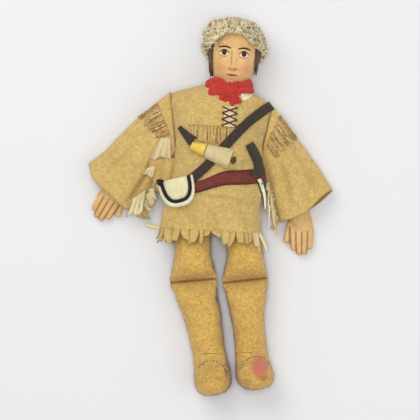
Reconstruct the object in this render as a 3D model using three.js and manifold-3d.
// A small cloth doll in a frontier woodsman's dress, lying on its back.
// Millimetres, +Z up: the doll faces +Z, its head points to +Y and its own right side is at -X.
// The origin lies on the flat of the tunic's back, where the doll rests.
// Each stuffed piece is a sewn cover with a stuffing opening in its side seam and a filling inside.

import * as THREE from "three";
import { mergeVertices } from "three/addons/utils/BufferGeometryUtils.js";
import Module from "manifold-3d";

const wasm = await Module();
wasm.setup();

// Cloth and clearances
const SKIN_CLOTH = 0.5; // printed cotton of the stuffed body
const TUNIC_CLOTH = 0.8; // napped cloth of the tunic and sleeves
const FELT = 0.7; // straps, belt and other applied pieces
const GAP = 0.35; // between two pieces that touch on the real doll
const SEAM_GAP = 0.45; // from a sewn joint's line to the cloth on each side
const SEAM_HALF = 0.5; // half thickness of a flattened, sewn edge
const SLIT_LENGTH = 5; // stuffing opening in a cover's side seam
const SLIT_WIDTH = 0.8;
const SLIT_DEPTH = 3;
const FLOOR_GAP = 0.3; // limbs lie this far above the flat of the back

// Tunic and torso: places along Y, half widths along X and half thicknesses along Z
const COLLAR_Y = 32.8;
const SHOULDER_Y = 30;
const CHEST_Y = 12;
const ARMPIT_Y = 8;
const WAIST_Y = -8.6;
const HIP_Y = -28; // sewn line where the legs join the torso
const HEM_Y = -33;
const BODY_X = -1.5; // above the waist the tunic has slipped a little to the doll's right
const BODY_Z = 13.3; // height of the side seams at the chest
const HEM_Z = 10.6; // height of the side seams at the hem
const HIP_Z = 9.7; // height of the hip joints
const COLLAR_HALF = 9.5;
const SHOULDER_HALF = 24.3;
const ARMPIT_HALF = 20.5;
const WAIST_HALF = 22.2;
const HEM_HALF = 27;
const HIP_HALF = 21.5;
const COLLAR_THICK = 6.8;
const SHOULDER_THICK = 9.5;
const CHEST_THICK = 14.2;
const WAIST_THICK = 12;
const HEM_THICK = 9.4;
const BACK_EXTRA = 1; // the back bulges this much further before the floor flattens it
const BELT_RECESS = 1.5; // the back stands this far off the floor where the belt passes
const TORSO_EASE = 1; // room between the torso's side and the tunic's
const CHEST_POWER = 2.4; // how square the section is: 2 is a parabola, more is flatter on top
const SKIRT_POWER = 4;
const HEM_TEETH = 17;
const HEM_FRINGE = 5;

// Belt
const BELT_WIDTH = 4.8;
const BELT_SLOPE = 0.28; // the belt hangs lower on the doll's right
const BELT_GAP = 0.5;

// Neck, head and cap
const NECK_X = 2.6;
const NECK_Z = 13.5;
const NECK_Y0 = 31.8;
const NECK_Y1 = 38.2;
const NECK_RADIUS = 5.5;
const NECK_OVAL = 1.1; // the neck and its scarf are this much wider than deep
const HEAD_X = 3;
const HEAD_Z = 14.6;
const HEAD_Y0 = 38.5;
const HEAD_LENGTH = 28.5;
const HEAD_HALF = 11.6;
const JAW_HALF = 9.8;
const HEAD_THICK = 11;
const CAP_CLOTH = 2.4; // pile fabric
const CAP_EASE = 0.9;
const BAND_CLOTH = 3.2;
const BAND_WIDTH = 7;
const BAND_FRONT_Y = 58; // lower edge of the cap's band over the forehead
const BAND_BACK_Y = 45;

// Neckerchief
const SCARF_CLOTH = 1.6;
const SCARF_Y0 = 33.2;
const SCARF_Y1 = 36.5;
const SCARF_GAP = 1; // room for the neck to nod
const KNOT_WIDTH = 7;
const KNOT_LENGTH = 4.6;
const KNOT_THICK = 3;
const SCARF_END_LENGTH = 6.5;
const SCARF_END_HALF = 3;
const KNOT_DROP = 0.5; // the knot sits this far below the middle of the band

// Arms
const ARM_ROOT = 0.36; // share of the shoulder seam above the arm
const ARM_START = 6; // from the shoulder seam to the arm's flattened top
const ARM_LENGTH = 46; // shoulder seam to wrist
const HAND_LENGTH = 18;
const ARM_HALF = 5.6;
const WRIST_HALF = 5.1;
const PALM_HALF = 7.6;
const ARM_THICK = 4.3;
const HAND_THICK = 3.4;
const SLEEVE_THICK = 6.4;
const SLEEVE_POWER = 2.4;
const SLEEVE_ROUND = 0.75;
const RIGHT_SLEEVE_LENGTH = 42;
const LEFT_SLEEVE_LENGTH = 39;
const RIGHT_CUFF_WIDTH = 29;
const LEFT_CUFF_WIDTH = 32;

// Legs
const HIP_SPACING = 22.8;
const RIGHT_THIGH_LENGTH = 27;
const LEFT_THIGH_LENGTH = 25.5;
const RIGHT_SHIN_LENGTH = 55;
const LEFT_SHIN_LENGTH = 52;
const THIGH_HALF = 9.2;
const KNEE_HALF = 10.4;
const THIGH_THICK = 8;
const KNEE_Z = 9.3;
const SHIN_THICK = 7.8;
const ANKLE_HALF = 8;
const ANKLE_HEIGHT = 14.6;
const FOOT_HALF = 8.9;
const FOOT_HEIGHT = 23.6;
const VAMP_GAP = 0.46; // between the foot and the moccasin's vamp

// How each side lies: directions are in degrees from the body's length.
// Arms and sleeves turn outward, and both legs lean to the doll's left.
const SIDES = [
  {
    name: "right",
    sign: -1,
    arm: 38,
    hand: 10,
    sleeve: 36,
    skew: 4,
    thigh: 3.3,
    shin: 13.8,
    sleeveLength: RIGHT_SLEEVE_LENGTH,
    cuff: RIGHT_CUFF_WIDTH,
    thighLength: RIGHT_THIGH_LENGTH,
    shinLength: RIGHT_SHIN_LENGTH,
  },
  {
    name: "left",
    sign: 1,
    arm: 24,
    hand: 2,
    sleeve: 30,
    skew: 11,
    thigh: 10.7,
    shin: 9.2,
    sleeveLength: LEFT_SLEEVE_LENGTH,
    cuff: LEFT_CUFF_WIDTH,
    thighLength: LEFT_THIGH_LENGTH,
    shinLength: LEFT_SHIN_LENGTH,
  },
];

// Fringes
const YOKE_Y = 17.5;
const YOKE_HALF = 18;
const YOKE_BAND = 1.6;
const YOKE_FRINGE = 6.5;
const YOKE_TEETH = 15;
const FRINGE_CLOTH = 0.6;
const ARM_FRINGE_TEETH = 9;
const UNDERARM_TEETH = 9;
const UNDERARM_FRINGE = 5;

// Things worn over the tunic, each on its own layer
const STRAP_WIDTH = 4.6;
const STRAP_TOP = 0.82; // share of the shoulder's half width at which the shoulder strap starts
const STRAP_TOP_DROP = 2.4; // from the shoulder's line to that end
const STRAP_SAG = 3; // the strap crosses the chest this far below its fullest line
const HORN_STRAP_TOP = 0.86; // share of the tunic's half width at which the horn's strap starts
const HORN_STRAP_HALF = 0.8;
const HORN_FALL = 15.7; // degrees by which the horn falls towards its wide end
const HORN_OUT = 13; // from the body's middle to the horn's tip
const HORN_TIP_LENGTH = 7;
const HORN_LENGTH = 19.5;
const HORN_TIP_HALF = 1.8;
const HORN_HALF = 4.9;
const HORN_CROWN = 2.2;
const HORN_PLUG = 2.2;
const POUCH_X = -20;
const POUCH_TOP_Y = -6.2;
const POUCH_LENGTH = 13.5;
const POUCH_HALF = 7.4;
const POUCH_RIM = 2;
const POUCH_PIPING = 1.3;
const POUCH_SLOPE = 0.42; // the pouch leans out over the side of the tunic by this much
const POUCH_CLOTH = 1.1;
const TOGGLE_RADIUS = 1.4;
const TOGGLE_DROP = 2.2; // from the pouch's top edge to the toggle
const KNIFE_OUT = 9; // from the neck's middle line to the top of the handle
const KNIFE_DROP = 2; // from the chest's fullest line down to it
const KNIFE_BELT = 0.84; // share of the waist's half width at which the knife meets the belt
const KNIFE_RISE = 5; // from the waist's line up to the end of the handle
const KNIFE_BEND = 0.8;
const KNIFE_CROWN = 1.2;
const KNIFE_HALF = 2.2;
const KNIFE_GUARD = 1.4;
const KNIFE_GUARD_HALF = 2.6;
const SHEATH_HALF = 1.7;
const SHEATH_LENGTH = 13;
const SHEATH_LEAN = 1.6; // the sheath's tip lies this far out from its mouth
const PLACKET_HALF = 2.6;
const PLACKET_LENGTH = 9.6;
const LACE_HALF = 0.45;
const LACE_TURNS = 5;
const LACE_MARGIN = 1; // from the lace to each end of the placket

const FULL_TURN = 2 * Math.PI;
const radians = THREE.MathUtils.degToRad;
const lerp = THREE.MathUtils.lerp;
const point = (x, y, z = 0) => new THREE.Vector3(x, y, z);

// A smooth curve through [place, value] stops that never overshoots them
function curveThrough(stops) {
  const sorted = [...stops].sort((a, b) => a[0] - b[0]);
  const steps = sorted.slice(1).map((stop, k) => (stop[1] - sorted[k][1]) / (stop[0] - sorted[k][0]));
  const slopes = sorted.map((stop, k) => {
    if (k === 0 || k === sorted.length - 1) return 0;
    const [before, after] = [steps[k - 1], steps[k]];
    return before * after <= 0 ? 0 : (2 * before * after) / (before + after);
  });
  return (at) => {
    const last = sorted.length - 1;
    if (at <= sorted[0][0]) return sorted[0][1];
    if (at >= sorted[last][0]) return sorted[last][1];
    const k = sorted.findIndex((stop) => stop[0] > at) - 1;
    const width = sorted[k + 1][0] - sorted[k][0];
    const t = (at - sorted[k][0]) / width;
    const [t2, t3] = [t * t, t * t * t];
    return (
      (2 * t3 - 3 * t2 + 1) * sorted[k][1] +
      (t3 - 2 * t2 + t) * width * slopes[k] +
      (3 * t2 - 2 * t3) * sorted[k + 1][1] +
      (t3 - t2) * width * slopes[k + 1]
    );
  };
}

// Share of the full thickness left at a share r of the half width
const bulge = (r, power, round = 1) => Math.pow(Math.max(0, 1 - Math.pow(Math.abs(r), power)), round);

// Solid building: every geometry is closed and faces out

function facingOut(geometry) {
  const at = geometry.getAttribute("position");
  const index = geometry.index.array;
  const [a, b, c] = [point(0, 0), point(0, 0), point(0, 0)];
  let volume = 0;
  for (let k = 0; k < index.length; k += 3) {
    a.fromBufferAttribute(at, index[k]);
    b.fromBufferAttribute(at, index[k + 1]);
    c.fromBufferAttribute(at, index[k + 2]);
    volume += a.dot(b.cross(c));
  }
  if (volume < 0) {
    for (let k = 0; k < index.length; k += 3) [index[k], index[k + 1]] = [index[k + 1], index[k]];
  }
  return geometry;
}

// Triangles that a closed tip has squeezed to a line are left out
function meshOf(points, triangles) {
  const kept = [];
  for (let k = 0; k < triangles.length; k += 3) {
    const corners = triangles.slice(k, k + 3);
    const [a, b, c] = corners.map((n) => points[n]);
    const squeezed = [[a, b], [b, c], [c, a]].some(([p, q]) => p.distanceTo(q) < 1e-6);
    if (!squeezed) kept.push(...corners);
  }
  const geometry = new THREE.BufferGeometry();
  const positions = points.flatMap((p) => p.toArray());
  geometry.setAttribute("position", new THREE.Float32BufferAttribute(positions, 3));
  geometry.setIndex(kept);
  return facingOut(geometry);
}

// A body through closed rings of points, with a fan over each end
function loftSolid(rings) {
  const sides = rings[0].length;
  const points = rings.flat();
  const triangles = [];
  for (let i = 0; i + 1 < rings.length; i++) {
    for (let j = 0; j < sides; j++) {
      const next = (j + 1) % sides;
      const [a, b, c, d] = [i * sides + j, i * sides + next, (i + 1) * sides + next, (i + 1) * sides + j];
      triangles.push(a, b, c, a, c, d);
    }
  }
  for (const end of [0, rings.length - 1]) {
    const middle = rings[end].reduce((sum, p) => sum.add(p), point(0, 0)).divideScalar(sides);
    points.push(middle);
    for (let j = 0; j < sides; j++) {
      const pair = [end * sides + j, end * sides + ((j + 1) % sides)];
      triangles.push(points.length - 1, ...(end === 0 ? pair.reverse() : pair));
    }
  }
  return meshOf(points, triangles);
}

// A piece of cloth between two grids of points.
// Cells that aren't filled are cut away, and a ring joins its last column to its first.
function clothSolid(rows, columns, under, over, { filled = () => true, ring = false } = {}) {
  const width = ring ? columns : columns + 1;
  const points = [];
  for (const face of [under, over]) {
    for (let i = 0; i <= rows; i++) for (let j = 0; j < width; j++) points.push(face(i, j));
  }
  const at = (i, j, face) => (face * (rows + 1) + i) * width + (j % width);
  const has = (i, j) => {
    if (i < 0 || i >= rows) return false;
    if (!ring && (j < 0 || j >= columns)) return false;
    return filled(i, (j + columns) % columns);
  };
  const triangles = [];
  const quad = (a, b, c, d) => triangles.push(a, b, c, a, c, d);
  for (let i = 0; i < rows; i++) {
    for (let j = 0; j < columns; j++) {
      if (!has(i, j)) continue;
      const corner = [[i, j], [i, j + 1], [i + 1, j + 1], [i + 1, j]];
      quad(...corner.map(([p, q]) => at(p, q, 1)));
      quad(...corner.map(([p, q]) => at(p, q, 0)).reverse());
      const wall = (p, q) => {
        const [from, to] = [corner[p], corner[q]];
        quad(at(...from, 0), at(...to, 0), at(...to, 1), at(...from, 1));
      };
      if (!has(i - 1, j)) wall(0, 1);
      if (!has(i, j + 1)) wall(1, 2);
      if (!has(i + 1, j)) wall(2, 3);
      if (!has(i, j - 1)) wall(3, 0);
    }
  }
  return meshOf(points, triangles);
}

function toSolid(geometry) {
  const bare = new THREE.BufferGeometry();
  bare.setAttribute("position", geometry.getAttribute("position").clone());
  bare.setIndex(geometry.index);
  const merged = mergeVertices(bare, 1e-4);
  return new wasm.Manifold(
    new wasm.Mesh({
      numProp: 3,
      vertProperties: new Float32Array(merged.getAttribute("position").array),
      triVerts: new Uint32Array(merged.index.array),
    }),
  );
}

function toGeometry(solid) {
  const made = solid.getMesh();
  const geometry = new THREE.BufferGeometry();
  const positions = [];
  for (let k = 0; k < made.numVert; k++) {
    const start = k * made.numProp;
    positions.push(...made.vertProperties.slice(start, start + 3));
  }
  geometry.setAttribute("position", new THREE.Float32BufferAttribute(positions, 3));
  geometry.setIndex([...made.triVerts]);
  return geometry;
}

// Materials
const cloth = (color, roughness = 0.95) => new THREE.MeshStandardMaterial({ color, roughness });
const TAN = cloth(0xd6b676);
const GOLD_TAN = cloth(0xcaa255);
const CREAM = cloth(0xe6d9ac);
const MUSLIN = cloth(0xe8dcc0);
const FILL = cloth(0xf4f2ea, 1);
const SKIN = cloth(0xe8b98a);
const FUR = cloth(0xc2b48c, 1);
const RED = cloth(0xb93a2b);
const DARK = cloth(0x463a35, 0.7);
const BLACK = cloth(0x14110f, 0.7);
const MAROON = cloth(0x6e3430, 0.7);
const HORN = cloth(0xdcc795, 0.6);
const YELLOW = cloth(0xefcf55, 0.6);
const FRINGE = cloth(0xb08c55);
const ROSE = cloth(0xc0765a);

const doll = new THREE.Group();

function add(name, geometry, material) {
  const mesh = new THREE.Mesh(geometry, material);
  mesh.name = name;
  doll.add(mesh);
  return mesh;
}

// Stuffed pieces

const LIMB_SIDES = 12;
const LIMB_POWER = 2.2;
const LIMB_ROUND = 0.6;

// A stuffed limb: `at(t, angle, grow)` is a point of its skin, grown outward, at a share t of its length
function makeLimb({ middle, across, half, rise, power = LIMB_POWER, round = LIMB_ROUND }) {
  const at = (t, angle, grow = 0) => {
    const r = Math.cos(angle);
    const up = Math.sin(angle) >= 0;
    const height = (rise(t) + grow) * bulge(r, power, round);
    const side = across(t).multiplyScalar(r * (half(t) + grow));
    return middle(t).add(side).add(point(0, 0, up ? height : -height));
  };
  return { at, across };
}

function rings(limb, places, grow) {
  const angles = [...Array(LIMB_SIDES).keys()].map((k) => (k / LIMB_SIDES) * FULL_TURN);
  return places.map((t) => angles.map((angle) => limb.at(t, angle, grow)));
}

// The same limb with straight skin between the given places
function faceted(limb, places) {
  const at = (t, angle, grow) => {
    const k = Math.max(0, places.findIndex((place, n) => n > 0 && place >= t) - 1);
    const share = (t - places[k]) / (places[k + 1] - places[k]);
    return limb.at(places[k], angle, grow).lerp(limb.at(places[k + 1], angle, grow), share);
  };
  return { ...limb, at };
}

// The cover and the stuffing of a limb whose skin runs through the given places.
// Its ends are flat seams or closed tips.
function addStuffed(name, limb, places, coverMaterial) {
  const inside = places.slice(1, -1);
  const middle = inside[Math.floor(inside.length / 2)];
  const side = limb.across(middle);
  const slit = new THREE.BoxGeometry(SLIT_DEPTH, SLIT_LENGTH, SLIT_WIDTH);
  slit.rotateZ(Math.atan2(side.y, side.x));
  slit.translate(...limb.at(middle, 0).toArray());
  const cover = toSolid(loftSolid(rings(limb, places, 0)))
    .subtract(toSolid(loftSolid(rings(limb, inside, -SKIN_CLOTH))))
    .subtract(toSolid(slit));
  add(`${name}_cover`, toGeometry(cover), coverMaterial);
  add(`${name}_stuffing`, loftSolid(rings(limb, inside.slice(0, -1), -SKIN_CLOTH - GAP)), FILL);
}

// Tunic profile

// The armhole is straight from the shoulder to the armpit
const alongArmhole = (t) => [lerp(SHOULDER_Y, ARMPIT_Y, t), lerp(SHOULDER_HALF, ARMPIT_HALF, t)];
const tunicHalf = curveThrough([
  [COLLAR_Y, COLLAR_HALF],
  ...[0, 0.15, 0.5, 1].map(alongArmhole),
  [WAIST_Y, WAIST_HALF],
  [HEM_Y, HEM_HALF],
]);
const tunicThick = curveThrough([
  [COLLAR_Y, COLLAR_THICK],
  [SHOULDER_Y, SHOULDER_THICK],
  [CHEST_Y, CHEST_THICK],
  [0, CHEST_THICK],
  [WAIST_Y, WAIST_THICK],
  [HEM_Y, HEM_THICK],
]);
const tunicPower = curveThrough([[WAIST_Y, CHEST_POWER], [HEM_Y, SKIRT_POWER]]);
const seamZ = curveThrough([[WAIST_Y, BODY_Z], [HEM_Y, HEM_Z]]);
const middleX = curveThrough([[WAIST_Y, BODY_X], [HEM_Y, 0]]);
const beltY = (x) => WAIST_Y + BELT_SLOPE * (x - BODY_X);
const RECESS_HALF = BELT_WIDTH / 2 + 2 * BELT_GAP;
const besideBelt = curveThrough([
  [-2.4 * RECESS_HALF, FLOOR_GAP],
  [-RECESS_HALF, BELT_RECESS],
  [RECESS_HALF, BELT_RECESS],
  [2 * RECESS_HALF, 0],
]);
const backFloor = (x, y) => besideBelt(y - beltY(x));

const tunicBulge = (x, y) => bulge((x - middleX(y)) / tunicHalf(y), tunicPower(y));
const frontSurface = (x, y) => seamZ(y) + tunicThick(y) * tunicBulge(x, y);
const backSurface = (x, y) => {
  const full = seamZ(y) - (tunicThick(y) + BACK_EXTRA) * tunicBulge(x, y);
  return Math.max(backFloor(x, y), full);
};

// Half width at which the front or back panel has thinned to its sewn edge
const edgeHalf = (y) => tunicHalf(y) * Math.pow(1 - SEAM_HALF / tunicThick(y), 1 / tunicPower(y));

const PANEL_COLUMNS = 12;
const panelX = (j, columns, y) => middleX(y) + edgeHalf(y) * ((2 * j) / columns - 1);

// The panel between two lines of y, as a cloth on the front or back surface
function tunicPanel(front, yAt, rows, columns, options) {
  const inner = SEAM_GAP / 3; // the two panels lie this far from the seam's middle
  const place = (i, j) => {
    const guess = panelX(j, columns, WAIST_Y);
    const y = yAt(i / rows, guess);
    return [panelX(j, columns, y), y];
  };
  const over = (i, j) => {
    const [x, y] = place(i, j);
    return point(x, y, front ? frontSurface(x, y) : backSurface(x, y));
  };
  const under = (i, j) => {
    const [x, y] = place(i, j);
    const z = front
      ? Math.max(frontSurface(x, y) - TUNIC_CLOTH, seamZ(y) + inner)
      : Math.min(backSurface(x, y) + TUNIC_CLOTH, seamZ(y) - inner);
    return point(x, y, z);
  };
  return clothSolid(rows, columns, under, over, options);
}

function addTunic() {
  const recess = RECESS_HALF / (COLLAR_Y - WAIST_Y);
  const bodiceRows = [0, recess, 2 * recess, 0.34, 0.52, 0.7, 0.84, 0.93, 0.97, 1];
  const bodiceY = (share, x) => lerp(beltY(x) + GAP / 2, COLLAR_Y, bodiceRows[Math.round(share * 9)]);
  add("tunic_front", tunicPanel(true, bodiceY, 9, PANEL_COLUMNS), TAN);
  add("tunic_back", tunicPanel(false, bodiceY, 9, PANEL_COLUMNS), TAN);

  const skirtRows = [0, RECESS_HALF / (WAIST_Y - HEM_Y), 0.55, 1];
  const columns = 2 * HEM_TEETH - 1;
  const skirtY = (share, x) => {
    const row = Math.round(share * 4);
    if (row === 4) return HEM_Y - HEM_FRINGE;
    return lerp(beltY(x) - GAP / 2, HEM_Y, skirtRows[row]);
  };
  const filled = (i, j) => i < 3 || j % 2 === 0;
  add("tunic_skirt_front", tunicPanel(true, skirtY, 4, columns, { filled }), TAN);
  add("tunic_skirt_back", tunicPanel(false, skirtY, 4, columns, { filled }), TAN);
}

// The torso fills the tunic down to the waist and tapers to the flat hip seam below it
function addTorso() {
  const top = SHOULDER_Y;
  const wrap = TUNIC_CLOTH + GAP;
  const taper = curveThrough([[WAIST_Y, 1], [HIP_Y + SEAM_GAP, 0]]);
  const filledThick = (y) => tunicThick(Math.max(y, WAIST_Y)) - wrap;
  const filledHalf = (y) => {
    const from = Math.max(y, WAIST_Y);
    const snug = tunicHalf(from) * Math.pow(filledThick(from) / tunicThick(from), 1 / tunicPower(from));
    return (snug - TORSO_EASE) * slope(from);
  };
  const slope = curveThrough([[SHOULDER_Y - 6, 1], [SHOULDER_Y - 2, 0.8], [SHOULDER_Y, 0.4]]);
  const below = [0, 0.2, 0.5, 0.8, 1].map((t) => lerp(HIP_Y + SEAM_GAP, WAIST_Y, t));
  const above = [0.25, 0.5, 0.72, 0.86, 0.95, 1].map((t) => lerp(WAIST_Y, top, t));
  const places = [...below, ...above].map((y) => (top - y) / (top - HIP_Y));
  const at = (t, angle, grow = 0) => {
    const y = lerp(top, HIP_Y, t);
    const share = Math.max(0, Math.min(1, (y - HIP_Y - SEAM_GAP) / (WAIST_Y - HIP_Y - SEAM_GAP)));
    const half = y >= WAIST_Y ? filledHalf(y) : lerp(HIP_HALF, filledHalf(WAIST_Y), taper(y));
    const thick = y >= WAIST_Y ? filledThick(y) : lerp(SEAM_HALF, filledThick(WAIST_Y), share);
    const middle = y >= WAIST_Y ? BODY_Z : lerp(HIP_Z, BODY_Z, share);
    const r = Math.cos(angle);
    const height = (thick + grow) * bulge(r, CHEST_POWER);
    const x = middleX(y) + r * (half + 2 * grow);
    const floor = BELT_RECESS + wrap - grow;
    const z = Math.sin(angle) >= 0 ? middle + height : Math.max(Math.min(floor, middle), middle - height);
    return point(x, y, z);
  };
  addStuffed("torso", { at, across: () => point(1, 0) }, places, MUSLIN);
}

// Layers of felt on the tunic's front: layer 1 lies on the tunic
const layerLift = (layer) => GAP + (layer - 1) * (FELT + GAP);

// A felt piece that follows the tunic's front.
// `line` gives its middle and `half` its half width at a share of its length.
function draped(line, half, { rows = 6, columns = 2, layer = 1, thickness = () => FELT } = {}) {
  const place = (i, j) => {
    const t = i / rows;
    const r = (2 * j) / columns - 1;
    const along = line(Math.min(1, t + 1e-3)).sub(line(Math.max(0, t - 1e-3))).normalize();
    const middle = line(t);
    return [middle.x - along.y * r * half(t), middle.y + along.x * r * half(t), t, r];
  };
  const base = (i, j) => {
    const [x, y] = place(i, j);
    return point(x, y, frontSurface(x, y) + layerLift(layer));
  };
  const over = (i, j) => base(i, j).add(point(0, 0, thickness(...place(i, j).slice(2))));
  return clothSolid(rows, columns, base, over);
}

const straight = (from, to) => (t) => from.clone().lerp(to, t);
const bent = (...through) => {
  const curve = new THREE.CatmullRomCurve3(through);
  return (t) => curve.getPoint(t);
};

function addBelt() {
  const columns = 28;
  const lift = (grow) => (i, j) => {
    const angle = (j / columns) * FULL_TURN;
    const r = Math.cos(angle);
    const y = beltY(BODY_X + r * WAIST_HALF) + BELT_WIDTH * (i / 2 - 0.5);
    const inside = middleX(y) + r * tunicHalf(y);
    const x = inside + Math.sign(r) * grow * Math.pow(r, 8);
    const z = Math.sin(angle) >= 0 ? frontSurface(inside, y) + grow : backSurface(inside, y) - grow;
    const edge = Math.abs(Math.sin(angle)) < 1e-6;
    return point(x, y, edge ? seamZ(y) : z);
  };
  add("belt", clothSolid(2, columns, lift(BELT_GAP), lift(BELT_GAP + FELT), { ring: true }), MAROON);
}

function addStraps() {
  const shoulder = point(BODY_X + STRAP_TOP * SHOULDER_HALF, SHOULDER_Y - STRAP_TOP_DROP);
  const pouchEnd = point(POUCH_X + POUCH_HALF - POUCH_RIM, POUCH_TOP_Y - STRAP_SAG);
  const chest = point(NECK_X + STRAP_WIDTH / 2, CHEST_Y - STRAP_SAG);
  const strap = bent(shoulder, chest.clone().lerp(shoulder, 0.5).add(point(-1, 1)), chest, pouchEnd);
  add("shoulder_strap", draped(strap, () => STRAP_WIDTH / 2, { rows: 12, layer: 2 }), DARK);

  const armhole = point(BODY_X - HORN_STRAP_TOP * tunicHalf(YOKE_Y), YOKE_Y - YOKE_BAND);
  const horn = hornTip.clone().add(point(-HORN_STRAP_HALF, HORN_STRAP_HALF));
  const wedge = (t) => lerp(HORN_STRAP_HALF, STRAP_WIDTH / 2, t);
  add("horn_strap", draped(straight(armhole, horn), wedge, { rows: 5, layer: 2 }), DARK);
}

// Powder horn: its tip hangs at the doll's right breast, its wide end over the belly
const hornAlong = point(Math.cos(radians(HORN_FALL)), -Math.sin(radians(HORN_FALL)));
const hornTip = point(BODY_X - HORN_OUT, ARMPIT_Y);
const hornEnd = hornTip.clone().addScaledVector(hornAlong, HORN_LENGTH);

function addHorn() {
  const share = HORN_TIP_LENGTH / HORN_LENGTH;
  const half = (s) => lerp(HORN_TIP_HALF, HORN_HALF, Math.pow(s, 0.8));
  const crown = (t, r) => FELT + HORN_CROWN * Math.sqrt(Math.max(0, 1 - r * r));
  const gap = GAP / HORN_LENGTH / 2;
  const axis = straight(hornTip, hornEnd);
  const options = { rows: 4, columns: 6, layer: 3, thickness: crown };
  add("horn_tip", draped((t) => axis(t * (share - gap)), (t) => half(t * share), options), YELLOW);
  const body = (t) => axis(lerp(share + gap, 1, t));
  add("horn_body", draped(body, (t) => half(lerp(share, 1, t)), { ...options, rows: 5 }), HORN);
  const plugFrom = hornEnd.clone().addScaledVector(hornAlong, GAP);
  const plugTo = plugFrom.clone().addScaledVector(hornAlong, HORN_PLUG);
  add("horn_plug", draped(straight(plugFrom, plugTo), () => HORN_PLUG / 2, { ...options, rows: 2 }), DARK);
}

// Pouch: a round-bottomed bag on the doll's right hip, with a flap edged in dark piping
const pouchTop = frontSurface(POUCH_X + POUCH_HALF, POUCH_TOP_Y) + layerLift(3);
const pouchFace = (x) => pouchTop + POUCH_SLOPE * (x - POUCH_X - POUCH_HALF);

// Outline of the pouch, taken in by `inset`: a straight top and a round bottom
function pouchPoint(angleShare, inset) {
  const half = POUCH_HALF - inset;
  const angle = Math.PI * (1 + angleShare);
  const drop = POUCH_LENGTH - POUCH_HALF;
  return point(POUCH_X + half * Math.cos(angle), POUCH_TOP_Y - drop + half * Math.sin(angle));
}

// Flat plate of the pouch between two insets, standing `lift` above the pouch's face
function pouchPlate(inset, lift, thickness, under) {
  const arc = 14;
  const top = POUCH_TOP_Y - inset;
  const place = (i, j) => {
    const edge = pouchPoint(j / arc, inset);
    return point(edge.x, lerp(top, edge.y, i / 4));
  };
  const over = (i, j) => {
    const p = place(i, j);
    return p.setZ(pouchFace(p.x) + lift + thickness);
  };
  const base = (i, j) => {
    const p = place(i, j);
    return p.setZ(under ? under(p.x, p.y) : pouchFace(p.x) + lift);
  };
  return clothSolid(4, arc, base, over);
}

function addPouch() {
  const bag = (x, y) => {
    const onTunic = BODY_X - edgeHalf(y) + 2;
    return Math.min(pouchFace(x), frontSurface(Math.max(x, onTunic), y) + layerLift(3));
  };
  add("pouch_bag", pouchPlate(0, 0, POUCH_CLOTH, bag), CREAM);

  const lift = POUCH_CLOTH + GAP;
  const flapInset = POUCH_RIM + POUCH_PIPING + GAP;
  add("pouch_flap", pouchPlate(flapInset, lift, FELT), CREAM);

  const arc = 16;
  const edge = (height) => (i, j) => {
    const p = pouchPoint(j / arc, POUCH_RIM + POUCH_PIPING * i);
    return p.setZ(pouchFace(p.x) + height);
  };
  add("pouch_piping", clothSolid(1, arc, edge(lift), edge(lift + FELT)), BLACK);

  const toggleX = POUCH_X - POUCH_HALF + TOGGLE_RADIUS;
  const toggle = new THREE.CylinderGeometry(TOGGLE_RADIUS, TOGGLE_RADIUS, FELT, 12);
  toggle.rotateX(Math.PI / 2);
  toggle.rotateY(-Math.atan(POUCH_SLOPE));
  toggle.translate(toggleX, POUCH_TOP_Y - TOGGLE_DROP, pouchFace(toggleX) + lift + FELT);
  add("pouch_toggle", toggle, BLACK);
}

function addKnife() {
  const top = point(NECK_X + KNIFE_OUT, CHEST_Y - KNIFE_DROP);
  const belt = point(BODY_X + KNIFE_BELT * WAIST_HALF, WAIST_Y + KNIFE_RISE);
  const handle = bent(top, top.clone().lerp(belt, 0.5).add(point(KNIFE_BEND, KNIFE_BEND / 2)), belt);
  const grip = (t) => KNIFE_HALF * (0.75 + 0.35 * Math.sin(Math.PI * Math.min(1, t + 0.1)));
  const round = (t, r) => FELT + KNIFE_CROWN * (1 - r * r);
  const options = { columns: 4, layer: 3, thickness: round };
  add("knife_handle", draped(handle, grip, { rows: 6, ...options }), DARK);
  const down = belt.clone().sub(handle(0.8)).normalize();
  const guardFrom = belt.clone().addScaledVector(down, GAP);
  const guardTo = guardFrom.clone().addScaledVector(down, KNIFE_GUARD);
  const guard = draped(straight(guardFrom, guardTo), () => KNIFE_GUARD_HALF, { rows: 1, ...options });
  add("knife_guard", guard, DARK);
  const sheathFrom = guardTo.clone().addScaledVector(down, GAP);
  const sheathTo = sheathFrom.clone().add(point(SHEATH_LEAN, -SHEATH_LENGTH));
  const sheathBend = sheathFrom.clone().lerp(sheathTo, 0.5).add(point(SHEATH_LEAN / 3, 0));
  const sheath = bent(sheathFrom, sheathBend, sheathTo);
  const taper = (t) => lerp(SHEATH_HALF, 0.35 * SHEATH_HALF, t * t);
  add("knife_sheath", draped(sheath, taper, { rows: 6, columns: 2, layer: 3 }), CREAM);
}

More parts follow.
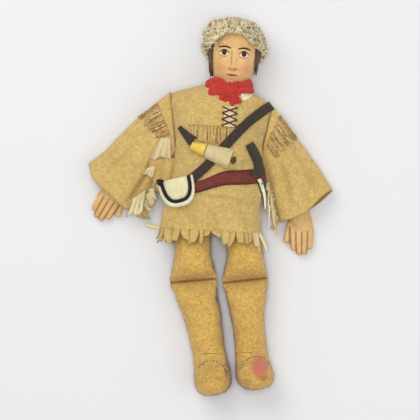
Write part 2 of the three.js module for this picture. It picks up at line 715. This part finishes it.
// Fringed yoke across the chest, and the laced opening below the collar
function addYoke() {
  const columns = 2 * YOKE_TEETH - 1;
  const drops = [0, YOKE_BAND, YOKE_BAND + YOKE_FRINGE / 2, YOKE_BAND + YOKE_FRINGE];
  const face = (lift) => (i, j) => {
    const x = BODY_X + YOKE_HALF * ((2 * j) / columns - 1);
    const y = YOKE_Y - drops[i];
    return point(x, y, frontSurface(x, y) + lift);
  };
  const filled = (i, j) => i === 0 || j % 2 === 0;
  add("yoke_fringe", clothSolid(3, columns, face(GAP), face(GAP + FRINGE_CLOTH), { filled }), FRINGE);

  const bottom = point(NECK_X, YOKE_Y + GAP);
  const top = bottom.clone().add(point(0, PLACKET_LENGTH));
  add("placket", draped(straight(top, bottom), () => PLACKET_HALF, { rows: 4 }), CREAM);

  const step = (PLACKET_LENGTH - 2 * LACE_MARGIN) / LACE_TURNS;
  const side = 0.5 * PLACKET_HALF;
  const slant = (LACE_HALF * Math.hypot(2 * side, step)) / step;
  const lace = (lift) => (i, j) => {
    const x = NECK_X + (j % 2 ? side : -side) + slant * (1 - 2 * i);
    const y = top.y - LACE_MARGIN - j * step;
    return point(x, y, frontSurface(x, y) + lift);
  };
  const lift = layerLift(2);
  add("neck_lace", clothSolid(1, LACE_TURNS, lace(lift), lace(lift + FRINGE_CLOTH)), DARK);
}

// Neck, head and cap

function addNeck() {
  const radius = curveThrough([[0, 0.35], [0.35, 0.7], [0.7, 1], [1, 0.85]]);
  const places = [0, 0.12, 0.35, 0.6, 0.85, 1];
  const ring = (t) =>
    [...Array(LIMB_SIDES).keys()].map((k) => {
      const angle = (k / LIMB_SIDES) * FULL_TURN;
      const r = NECK_RADIUS * radius(t);
      const x = NECK_X + NECK_OVAL * r * Math.cos(angle);
      return point(x, lerp(NECK_Y0, NECK_Y1, t), NECK_Z + r * Math.sin(angle));
    });
  add("neck", loftSolid(places.map(ring)), SKIN);
}

const headHalf = curveThrough([
  [0, 0.55 * JAW_HALF],
  [0.08, 0.84 * JAW_HALF],
  [0.22, JAW_HALF],
  [0.6, HEAD_HALF],
  [0.8, 0.9 * HEAD_HALF],
  [0.93, 0.62 * HEAD_HALF],
  [1, 0.25 * HEAD_HALF],
]);
const headThick = curveThrough([
  [0, 0.5 * HEAD_THICK],
  [0.12, 0.78 * HEAD_THICK],
  [0.3, 0.95 * HEAD_THICK],
  [0.6, HEAD_THICK],
  [0.8, 0.9 * HEAD_THICK],
  [0.93, 0.62 * HEAD_THICK],
  [1, 0.25 * HEAD_THICK],
]);
const head = makeLimb({
  middle: (t) => point(HEAD_X, HEAD_Y0 + HEAD_LENGTH * t, HEAD_Z),
  across: () => point(1, 0),
  half: headHalf,
  rise: headThick,
  round: 0.5,
});

function addHead() {
  addStuffed("head", head, [0, 0.06, 0.14, 0.26, 0.42, 0.58, 0.72, 0.84, 0.93, 1], SKIN);

  // The cap's crown sits on the band and closes over the top of the head
  const columns = 18;
  const bandEdge = (z, share) => {
    const front = (z - HEAD_Z + HEAD_THICK) / (2 * HEAD_THICK);
    return lerp(BAND_BACK_Y, BAND_FRONT_Y, front) + BAND_WIDTH * share;
  };
  const share = (y) => (y - HEAD_Y0) / HEAD_LENGTH;
  const bandPoint = (angle, across, grow) => {
    const z = HEAD_Z + HEAD_THICK * Math.sin(angle);
    const y = bandEdge(z, across);
    const t = share(y);
    const [half, thick] = [headHalf(t) + grow, headThick(t) + grow];
    return point(HEAD_X + half * Math.cos(angle), y, HEAD_Z + thick * Math.sin(angle));
  };
  const roll = [0.25, 0.85, 1, 0.85, 0.25];
  const band = (inside) => (i, j) => {
    const angle = (j / columns) * FULL_TURN;
    return bandPoint(angle, i / 4, inside ? CAP_EASE : CAP_EASE + BAND_CLOTH * roll[i]);
  };
  add("cap_band", clothSolid(4, columns, band(true), band(false), { ring: true }), FUR);

  const crownRows = 6;
  const crown = (grow) => (i, j) => {
    const angle = (j / columns) * FULL_TURN;
    const low = share(bandPoint(angle, 1, 0).y + GAP);
    const t = lerp(low, 1, i / crownRows);
    const y = HEAD_Y0 + HEAD_LENGTH * t + ((grow + GAP) * i * i) / (crownRows * crownRows);
    const open = i < crownRows ? 1 : 0;
    const [half, thick] = [open * (headHalf(t) + grow), open * (headThick(t) + grow)];
    return point(HEAD_X + half * Math.cos(angle), y, HEAD_Z + thick * Math.sin(angle));
  };
  const dome = clothSolid(crownRows, columns, crown(CAP_EASE), crown(CAP_EASE + CAP_CLOTH), { ring: true });
  add("cap_crown", dome, FUR);
}

// Neckerchief: a rolled band round the neck, a knot in front and two hanging ends
function addNeckerchief() {
  const columns = 16;
  const inner = NECK_RADIUS + SCARF_GAP;
  const roll = [0.45, 1, 0.45];
  const band = (grow) => (i, j) => {
    const angle = (j / columns) * FULL_TURN;
    const r = inner + grow * roll[i];
    const z = NECK_Z + r * Math.sin(angle);
    return point(NECK_X + NECK_OVAL * r * Math.cos(angle), lerp(SCARF_Y0, SCARF_Y1, i / 2), z);
  };
  add("neckerchief_band", clothSolid(2, columns, band(0), band(SCARF_CLOTH), { ring: true }), RED);

  const knotY = (SCARF_Y0 + SCARF_Y1) / 2 - KNOT_DROP;
  const knotZ = NECK_Z + inner + SCARF_CLOTH + GAP + KNOT_THICK / 2;
  const knot = new THREE.SphereGeometry(1, 12, 8);
  knot.scale(KNOT_WIDTH / 2, KNOT_LENGTH / 2, KNOT_THICK / 2);
  knot.translate(NECK_X, knotY, knotZ);
  add("neckerchief_knot", knot, RED);

  const from = knotY - KNOT_LENGTH / 2 - GAP;
  [
    ["neckerchief_end_right", -0.5, 0.8],
    ["neckerchief_end_left", 0.25, 1],
  ].forEach(([name, lean, share], k) => {
    const start = point(NECK_X + lean * SCARF_CLOTH, from);
    const stop = start.clone().add(point(lean, -1).multiplyScalar(SCARF_END_LENGTH * share));
    const half = curveThrough([
      [0, 0.45 * SCARF_END_HALF],
      [0.7, 0.84 * SCARF_END_HALF],
      [1, 0.3 * SCARF_END_HALF],
    ]);
    add(name, draped(straight(start, stop), half, { rows: 5, columns: 2, layer: 3 + k }), RED);
  });
}

// Arms and sleeves

const outward = (sign, degrees) => point(sign * Math.sin(radians(degrees)), -Math.cos(radians(degrees)));
const turned = (v) => point(-v.y, v.x);

// The shoulder seam runs down the tunic's armhole and is the line that the arm swings about
function armhole(sign) {
  const end = (y) => point(BODY_X + sign * (edgeHalf(y) + SEAM_GAP), y);
  const [top, bottom] = [end(SHOULDER_Y), end(ARMPIT_Y)];
  return { top, bottom, middle: top.clone().lerp(bottom, 0.5) };
}

function makeSleeve(side) {
  const seam = armhole(side.sign);
  const along = outward(side.sign, side.sleeve);
  const cuffLine = turned(outward(side.sign, side.sleeve + side.skew)).multiplyScalar(side.sign);
  const cuffMiddle = seam.middle.clone().addScaledVector(along, side.sleeveLength);
  const outer = cuffMiddle.clone().addScaledVector(cuffLine, side.cuff / 2);
  const inner = cuffMiddle.clone().addScaledVector(cuffLine, -side.cuff / 2);
  const start = SEAM_GAP / side.sleeveLength;
  const topEdge = (t) => seam.top.clone().lerp(outer, lerp(start, 1, t));
  const lowEdge = (t) => seam.bottom.clone().lerp(inner, lerp(start, 1, t));
  const height = curveThrough([
    [0, BODY_Z],
    [0.45, 1.25 * SLEEVE_THICK],
    [1, SLEEVE_THICK + FLOOR_GAP],
  ]);
  const thick = curveThrough([
    [0, SEAM_HALF],
    [0.12, 0.38 * SLEEVE_THICK],
    [0.4, 0.85 * SLEEVE_THICK],
    [0.75, SLEEVE_THICK],
  ]);
  const limb = makeLimb({
    middle: (t) => topEdge(t).lerp(lowEdge(t), 0.5).setZ(height(t)),
    across: (t) => topEdge(t).sub(lowEdge(t)).normalize(),
    half: (t) => topEdge(t).distanceTo(lowEdge(t)) / 2,
    rise: thick,
    power: SLEEVE_POWER,
    round: SLEEVE_ROUND,
  });
  // Height of the sleeve's lower skin below a place in plan
  const under = (place) => {
    let [low, high] = [0, 1];
    for (let step = 0; step < 30; step++) {
      const t = (low + high) / 2;
      const line = topEdge(t).sub(lowEdge(t));
      const beyond = line.cross(place.clone().setZ(0).sub(lowEdge(t))).z * side.sign < 0;
      [low, high] = beyond ? [t, high] : [low, t];
    }
    const width = topEdge(low).distanceTo(lowEdge(low));
    const r = (2 * place.clone().setZ(0).distanceTo(lowEdge(low))) / width - 1;
    return height(low) - thick(low) * bulge(Math.min(1, r), SLEEVE_POWER, SLEEVE_ROUND);
  };
  return { limb, seam, height, thick, lowEdge, along, under };
}

function addArm(side) {
  const { name, sign } = side;
  const sleeve = makeSleeve(side);
  const places = [0, 0.06, 0.14, 0.28, 0.45, 0.65, 0.85, 1];
  const columns = 16;
  const skin = (depth) => (i, j) => {
    const t = places[i];
    const inset = Math.min(depth, sleeve.thick(t) - SEAM_GAP / 3);
    return sleeve.limb.at(t, (j / columns) * FULL_TURN, -inset);
  };
  const tube = clothSolid(places.length - 1, columns, skin(TUNIC_CLOTH), skin(0), { ring: true });
  add(`${name}_sleeve`, tube, TAN);

  // The arm lies on the sleeve's lower side, and the hand comes out of the cuff
  const root = sleeve.seam.top.clone().lerp(sleeve.seam.bottom, ARM_ROOT);
  const shoulder = root.clone().addScaledVector(outward(sign, side.arm), ARM_START);
  const wrist = root.clone().addScaledVector(outward(sign, side.arm), ARM_LENGTH);
  const tip = wrist.clone().addScaledVector(outward(sign, side.hand), HAND_LENGTH);
  const path = new THREE.QuadraticBezierCurve3(shoulder, wrist, tip);
  const thick = curveThrough([
    [0, SEAM_HALF],
    [0.2, 0.42 * ARM_THICK],
    [0.42, ARM_THICK],
    [0.7, HAND_THICK],
    [0.86, HAND_THICK],
    [0.95, 0.75 * HAND_THICK],
    [1, 0.2 * HAND_THICK],
  ]);
  const half = curveThrough([
    [0, 0.6 * ARM_HALF],
    [0.25, 0.8 * ARM_HALF],
    [0.5, ARM_HALF],
    [0.66, WRIST_HALF],
    [0.84, PALM_HALF],
    [0.94, 0.8 * PALM_HALF],
    [1, 0.3 * PALM_HALF],
  ]);
  const seamLine = sleeve.seam.top.clone().sub(sleeve.seam.bottom).normalize().multiplyScalar(sign);
  const across = (t) => seamLine.clone().lerp(turned(path.getTangentAt(t)), Math.min(1, 3 * t)).normalize();
  const rest = (t) => {
    const clear = [-0.6, 0, 0.6].map((r) => {
      const place = path.getPointAt(t).addScaledVector(across(t), r * half(t));
      return sleeve.under(place) + thick(t) * bulge(r, LIMB_POWER, LIMB_ROUND);
    });
    return Math.max(...clear) + TUNIC_CLOTH + 1.5 * GAP;
  };
  const limb = makeLimb({ middle: (t) => path.getPointAt(t).setZ(rest(t)), across, half, rise: thick });
  addStuffed(`${name}_arm`, limb, [0, 0.1, 0.22, 0.36, 0.52, 0.66, 0.76, 0.86, 0.94, 1], SKIN);
  addArmFringes(side, sleeve);
}

// A fringe across the top of the upper sleeve, and a cut fringe along the underarm seam
function addArmFringes({ name, sign }, sleeve) {
  const columns = 2 * ARM_FRINGE_TEETH - 1;
  const drops = [0.2, 0.24, 0.34, 0.44];
  const angles = (j) => Math.PI * lerp(0.14, 0.86, j / columns);
  const lifted = (grow) => (i, j) => sleeve.limb.at(drops[i], angles(j), grow);
  const filled = (i, j) => i === 0 || j % 2 === 0;
  const fringe = clothSolid(3, columns, lifted(GAP), lifted(GAP + FRINGE_CLOTH), { filled });
  add(`${name}_shoulder_fringe`, fringe, FRINGE);

  const under = 2 * UNDERARM_TEETH - 1;
  const reach = [GAP, UNDERARM_FRINGE / 3, UNDERARM_FRINGE / 2, UNDERARM_FRINGE];
  const flat = (lift) => (i, j) => {
    const t = lerp(0.42, 0.98, j / under);
    const side = sleeve.limb.across(t).negate();
    const sag = 0.35 * reach[i];
    const hang = side.add(sleeve.along.clone().multiplyScalar(0.3));
    const p = sleeve.lowEdge(t).addScaledVector(hang, reach[i]);
    return p.setZ(sleeve.height(t) - sag + lift);
  };
  const strip = clothSolid(3, under, flat(-FRINGE_CLOTH / 2), flat(FRINGE_CLOTH / 2), { filled });
  add(`${name}_sleeve_fringe`, strip, CREAM);
}

// Legs: a thigh between the flat hip and knee seams, and a shin whose foot turns up

function addLeg(side) {
  const { name, sign } = side;
  const leaning = (degrees) => point(Math.sin(radians(degrees)), -Math.cos(radians(degrees)));
  const seamAngle = (side.thigh + side.shin) / 2;
  const hip = point((sign * HIP_SPACING) / 2, HIP_Y);
  const knee = hip.clone().addScaledVector(leaning(side.thigh), side.thighLength);
  const thighTop = hip.clone().addScaledVector(leaning(0), SEAM_GAP);
  const thighEnd = knee.clone().addScaledVector(leaning(seamAngle), -SEAM_GAP);
  const thigh = makeLimb({
    middle: (t) => thighTop.clone().lerp(thighEnd, t).setZ(lerp(HIP_Z, KNEE_Z, t)),
    across: (t) => turned(leaning(lerp(0, seamAngle, t))),
    half: curveThrough([[0.5, THIGH_HALF], [1, KNEE_HALF]]),
    rise: curveThrough([
      [0, SEAM_HALF],
      [0.2, 0.55 * THIGH_THICK],
      [0.5, THIGH_THICK],
      [0.72, THIGH_THICK],
      [0.88, 0.62 * THIGH_THICK],
      [1, SEAM_HALF],
    ]),
  });
  addStuffed(`${name}_thigh`, thigh, [0, 0.1, 0.22, 0.38, 0.55, 0.72, 0.85, 0.94, 1], GOLD_TAN);

  const shinTop = knee.clone().addScaledVector(leaning(seamAngle), SEAM_GAP);
  const sole = knee.clone().addScaledVector(leaning(side.shin), side.shinLength);
  const top = curveThrough([
    [0, KNEE_Z + SEAM_HALF],
    [0.07, KNEE_Z + 0.6 * SHIN_THICK],
    [0.16, 2.13 * SHIN_THICK],
    [0.4, 2.05 * SHIN_THICK],
    [0.62, ANKLE_HEIGHT],
    [0.72, 0.72 * FOOT_HEIGHT],
    [0.83, FOOT_HEIGHT],
    [0.91, FOOT_HEIGHT],
    [0.97, 0.86 * FOOT_HEIGHT],
    [1, 0.66 * FOOT_HEIGHT],
  ]);
  const bottom = curveThrough([
    [0, KNEE_Z - SEAM_HALF],
    [0.07, KNEE_Z - 0.6 * SHIN_THICK],
    [0.16, 2 * FLOOR_GAP],
    [0.3, FLOOR_GAP],
    [0.9, FLOOR_GAP],
    [0.97, 0.12 * FOOT_HEIGHT],
    [1, 0.34 * FOOT_HEIGHT],
  ]);
  const shin = makeLimb({
    middle: (t) => shinTop.clone().lerp(sole, t).setZ((top(t) + bottom(t)) / 2),
    across: (t) => turned(leaning(lerp(seamAngle, side.shin, Math.min(1, 5 * t)))),
    half: curveThrough([
      [0, KNEE_HALF],
      [0.16, 0.95 * KNEE_HALF],
      [0.62, ANKLE_HALF],
      [0.83, FOOT_HALF],
      [0.93, 0.9 * FOOT_HALF],
      [0.975, 0.66 * FOOT_HALF],
      [1, 0.3 * FOOT_HALF],
    ]),
    rise: (t) => (top(t) - bottom(t)) / 2,
  });
  const places = [0, 0.05, 0.1, 0.18, 0.4, 0.6, 0.7, 0.78, 0.86, 0.93, 0.97, 1];
  addStuffed(`${name}_shin`, shin, places, GOLD_TAN);

  // The moccasin's vamp, sewn over the toe
  const foot = faceted(shin, places);
  const vampRows = [0.74, 0.78, 0.82, 0.86, 0.93];
  const spread = [0.5, 0.86, 1, 0.9, 0.55];
  const columns = 6;
  const vampFace = (grow) => (i, j) => {
    const angle = Math.PI * (0.5 + 0.3 * spread[i] * ((2 * j) / columns - 1));
    return foot.at(vampRows[i], angle, grow);
  };
  const vamp = clothSolid(4, columns, vampFace(VAMP_GAP), vampFace(VAMP_GAP + FELT));
  add(`${name}_moccasin_vamp`, vamp, ROSE);
}

addTorso();
addTunic();
addBelt();
addStraps();
addHorn();
addPouch();
addKnife();
addYoke();
addNeck();
addHead();
addNeckerchief();
for (const side of SIDES) {
  addArm(side);
  addLeg(side);
}

export default doll;
